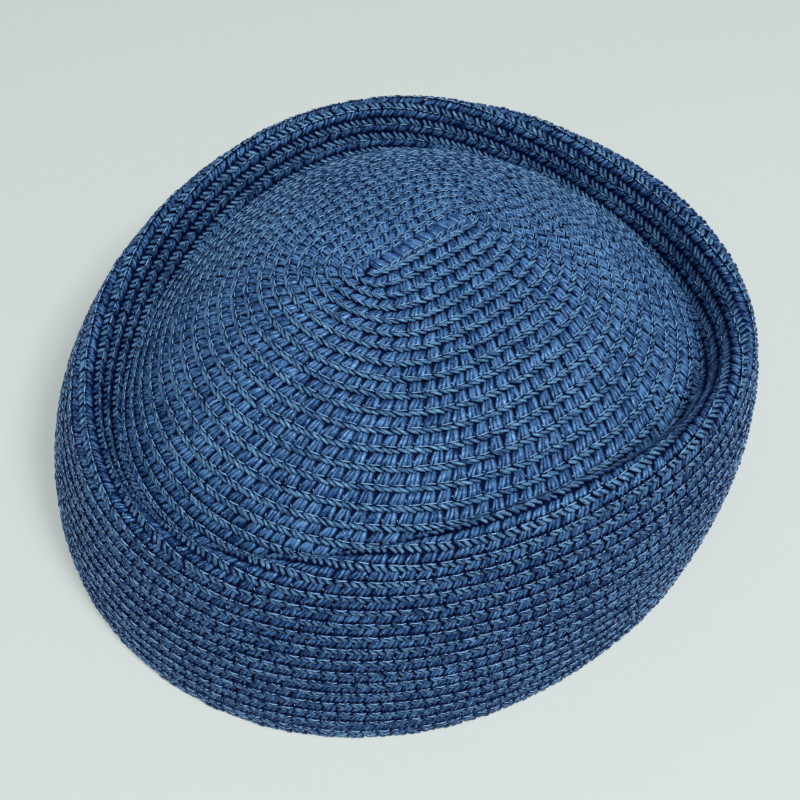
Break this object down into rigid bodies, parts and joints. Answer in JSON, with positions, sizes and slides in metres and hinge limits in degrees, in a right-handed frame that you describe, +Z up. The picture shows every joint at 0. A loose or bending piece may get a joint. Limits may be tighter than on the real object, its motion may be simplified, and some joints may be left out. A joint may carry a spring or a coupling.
{
  "type": "pillbox hat",
  "caption": "Oval pillbox hat of sewn straw braid, with a domed crown tip inside a rolled rim and a tall flared side band.",
  "frame": {"origin": "centre of the hat's box, on the surface that it rests on", "axes": "+Z up from the lower edge to the crown, -Y towards the front end of the start strip, +X to the wearer's left"},
  "size_m": [0.18, 0.189, 0.0666],
  "materials": {
    "straw": "plaited blue straw with a slight sheen"
  },
  "bodies": {
    "root": {"crown_tip": "straw", "rim_roll": "straw", "side_band": "straw"}
  },
  "joints": []
}
